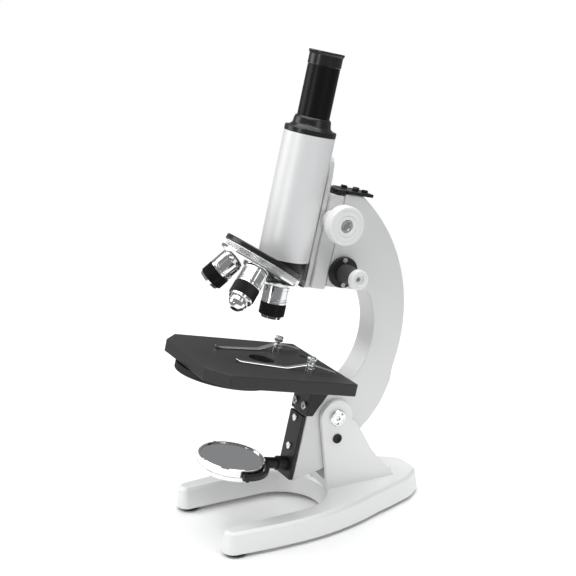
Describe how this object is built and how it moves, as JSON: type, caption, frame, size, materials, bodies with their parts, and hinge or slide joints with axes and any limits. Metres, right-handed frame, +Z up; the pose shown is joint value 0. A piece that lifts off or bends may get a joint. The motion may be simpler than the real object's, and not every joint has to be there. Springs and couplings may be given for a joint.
{
  "type": "microscope",
  "caption": "Upright light microscope on a horseshoe base, with an inclining arm, focus knobs, a rotating nosepiece, stage clips, a disc diaphragm and a mirror.",
  "frame": {"origin": "On the table plane, under the middle of the whole microscope's outline", "axes": "+Z up, -Y towards the front of the stage and the toes of the base, +X to the right when looking towards +Y, at the front"},
  "size_m": [0.114, 0.2129, 0.3776],
  "materials": {
    "white_enamel": "semi-gloss white enamel",
    "grey_enamel": "fine hammered light grey enamel",
    "tube_enamel": "gloss white enamel",
    "white_knob": "gloss white",
    "black_paint": "semi-gloss black",
    "stage_black": "satin black",
    "gloss_black": "gloss black",
    "satin_black": "black anodised",
    "dark_knob": "satin dark grey",
    "chrome": "bright plated",
    "black_steel": "blackened",
    "steel": "zinc plated",
    "brass": "machined",
    "glass": "clear coated",
    "mirror_glass": "silvered glass",
    "rubber": "matte"
  },
  "bodies": {
    "stand": {"base_casting": "white_enamel", "rubber_feet": "rubber", "foot_screws": "steel", "pillar": "white_enamel", "pillar_screws": "steel", "hinge_bolt": "chrome", "hinge_nut": "chrome", "hinge_washers": "steel", "stop_screws": "black_steel"},
    "arm": {"arm_casting": "grey_enamel", "top_cap": "gloss_black", "cap_block": "gloss_black", "cap_screws": "black_steel", "stage_bracket": "black_paint", "bracket_screws": "chrome", "stage_plate": "stage_black", "stage_screws": "black_steel", "clip_posts": "chrome", "mirror_bar": "black_paint", "bar_screws": "chrome", "fine_flanges": "black_paint", "flange_screws": "steel", "diaphragm_screw": "steel"},
    "fine_drive": {"fine_shaft": "steel", "fine_knob_left": "dark_knob", "fine_knob_right": "dark_knob", "fine_knob_caps": "white_knob"},
    "lead_screw": {"fine_screw": "brass"},
    "carriage": {"focusing_block": "grey_enamel", "fine_nut": "brass", "pinion_bushings": "brass"},
    "coarse_drive": {"pinion_shaft": "steel", "coarse_knob_left": "white_knob", "coarse_knob_right": "white_knob", "coarse_knob_screws": "chrome"},
    "tube": {"body_tube": "tube_enamel", "tube_slide": "grey_enamel", "rack": "brass", "tube_collar": "gloss_black", "eyepiece_tube": "satin_black", "nose_mount": "black_paint", "turret_pivot": "steel", "click_spring": "black_steel", "click_screw": "steel"},
    "eyepiece": {"eyepiece_shell": "gloss_black", "eye_lens": "glass", "field_lens": "glass"},
    "revolver": {"turret": "chrome", "objective_short": "chrome", "objective_medium": "chrome", "objective_long": "chrome", "objective_grips": "satin_black", "objective_lenses": "glass"},
    "long_tip": {"sprung_tip": "chrome"},
    "right_clip": {"clip_right": "chrome"},
    "left_clip": {"clip_left": "chrome"},
    "diaphragm": {"diaphragm_disc": "black_paint"},
    "mirror_arm": {"mirror_fork": "black_paint"},
    "mirror": {"mirror_cell": "chrome", "mirror_glasses": "mirror_glass"}
  },
  "joints": [
    {"name": "inclination", "type": "hinge", "parent": "stand", "child": "arm", "pos_m": [0, 0.02445, 0.0826], "axis": [-1, 0, 0], "range_deg": [-13.5, 31.5]},
    {"name": "fine_knob", "type": "hinge", "parent": "arm", "child": "fine_drive", "pos_m": [0, 0.03006, 0.20322], "axis": [1, 0, 0], "range_deg": [-1442, 1442]},
    {"name": "fine_screw_turn", "type": "hinge", "parent": "arm", "child": "lead_screw", "pos_m": [0, 0.02345, 0.20481], "axis": [0, 0.2334, 0.9724], "range_deg": [-580, 580]},
    {"name": "fine_travel", "type": "slide", "parent": "arm", "child": "carriage", "axis": [0, 0.2334, 0.9724], "range_m": [-0.0008, 0.0008]},
    {"name": "coarse_knob", "type": "hinge", "parent": "carriage", "child": "coarse_drive", "pos_m": [0, 0.01898, 0.24702], "axis": [-1, 0, 0], "range_deg": [-300.5, 183.5]},
    {"name": "tube_travel", "type": "slide", "parent": "carriage", "child": "tube", "axis": [0, 0.2334, 0.9724], "range_m": [-0.023, 0.014]},
    {"name": "eyepiece_lift", "type": "slide", "parent": "tube", "child": "eyepiece", "axis": [0, 0.2334, 0.9724], "range_m": [0, 0.045]},
    {"name": "turret_turn", "type": "hinge", "parent": "tube", "child": "revolver", "pos_m": [0, -0.03493, 0.21739], "axis": [0, 0.5693, 0.8221], "continuous": true},
    {"name": "tip_spring", "type": "slide", "parent": "revolver", "child": "long_tip", "axis": [-0.3132, 0.6794, 0.6636], "range_m": [0, 0.0025], "stiffness_N_per_m": 400},
    {"name": "right_clip_swing", "type": "hinge", "parent": "arm", "child": "right_clip", "pos_m": [0.028, -0.00686, 0.13639], "axis": [0, -0.2334, -0.9724], "range_deg": [-89, 9]},
    {"name": "left_clip_swing", "type": "hinge", "parent": "arm", "child": "left_clip", "pos_m": [-0.028, -0.00686, 0.13639], "axis": [0, 0.2334, 0.9724], "range_deg": [-82, 16]},
    {"name": "diaphragm_turn", "type": "hinge", "parent": "arm", "child": "diaphragm", "pos_m": [0, -0.06866, 0.13169], "axis": [0, 0.2334, 0.9724], "continuous": true},
    {"name": "mirror_swivel", "type": "hinge", "parent": "arm", "child": "mirror_arm", "pos_m": [0, -0.06342, 0.05587], "axis": [0, 0.9724, -0.2334], "range_deg": [-94.5, 85.5]},
    {"name": "mirror_tilt", "type": "hinge", "parent": "mirror_arm", "child": "mirror", "pos_m": [0, -0.06342, 0.05587], "axis": [0.9969, -0.0183, -0.0763], "continuous": true}
  ],
  "couplings": [
    {"joint": "fine_knob", "follows": "fine_travel", "rad_per_m": 31416},
    {"joint": "fine_screw_turn", "follows": "fine_travel", "rad_per_m": -12566},
    {"joint": "coarse_knob", "follows": "tube_travel", "rad_per_m": 227.27}
  ]
}
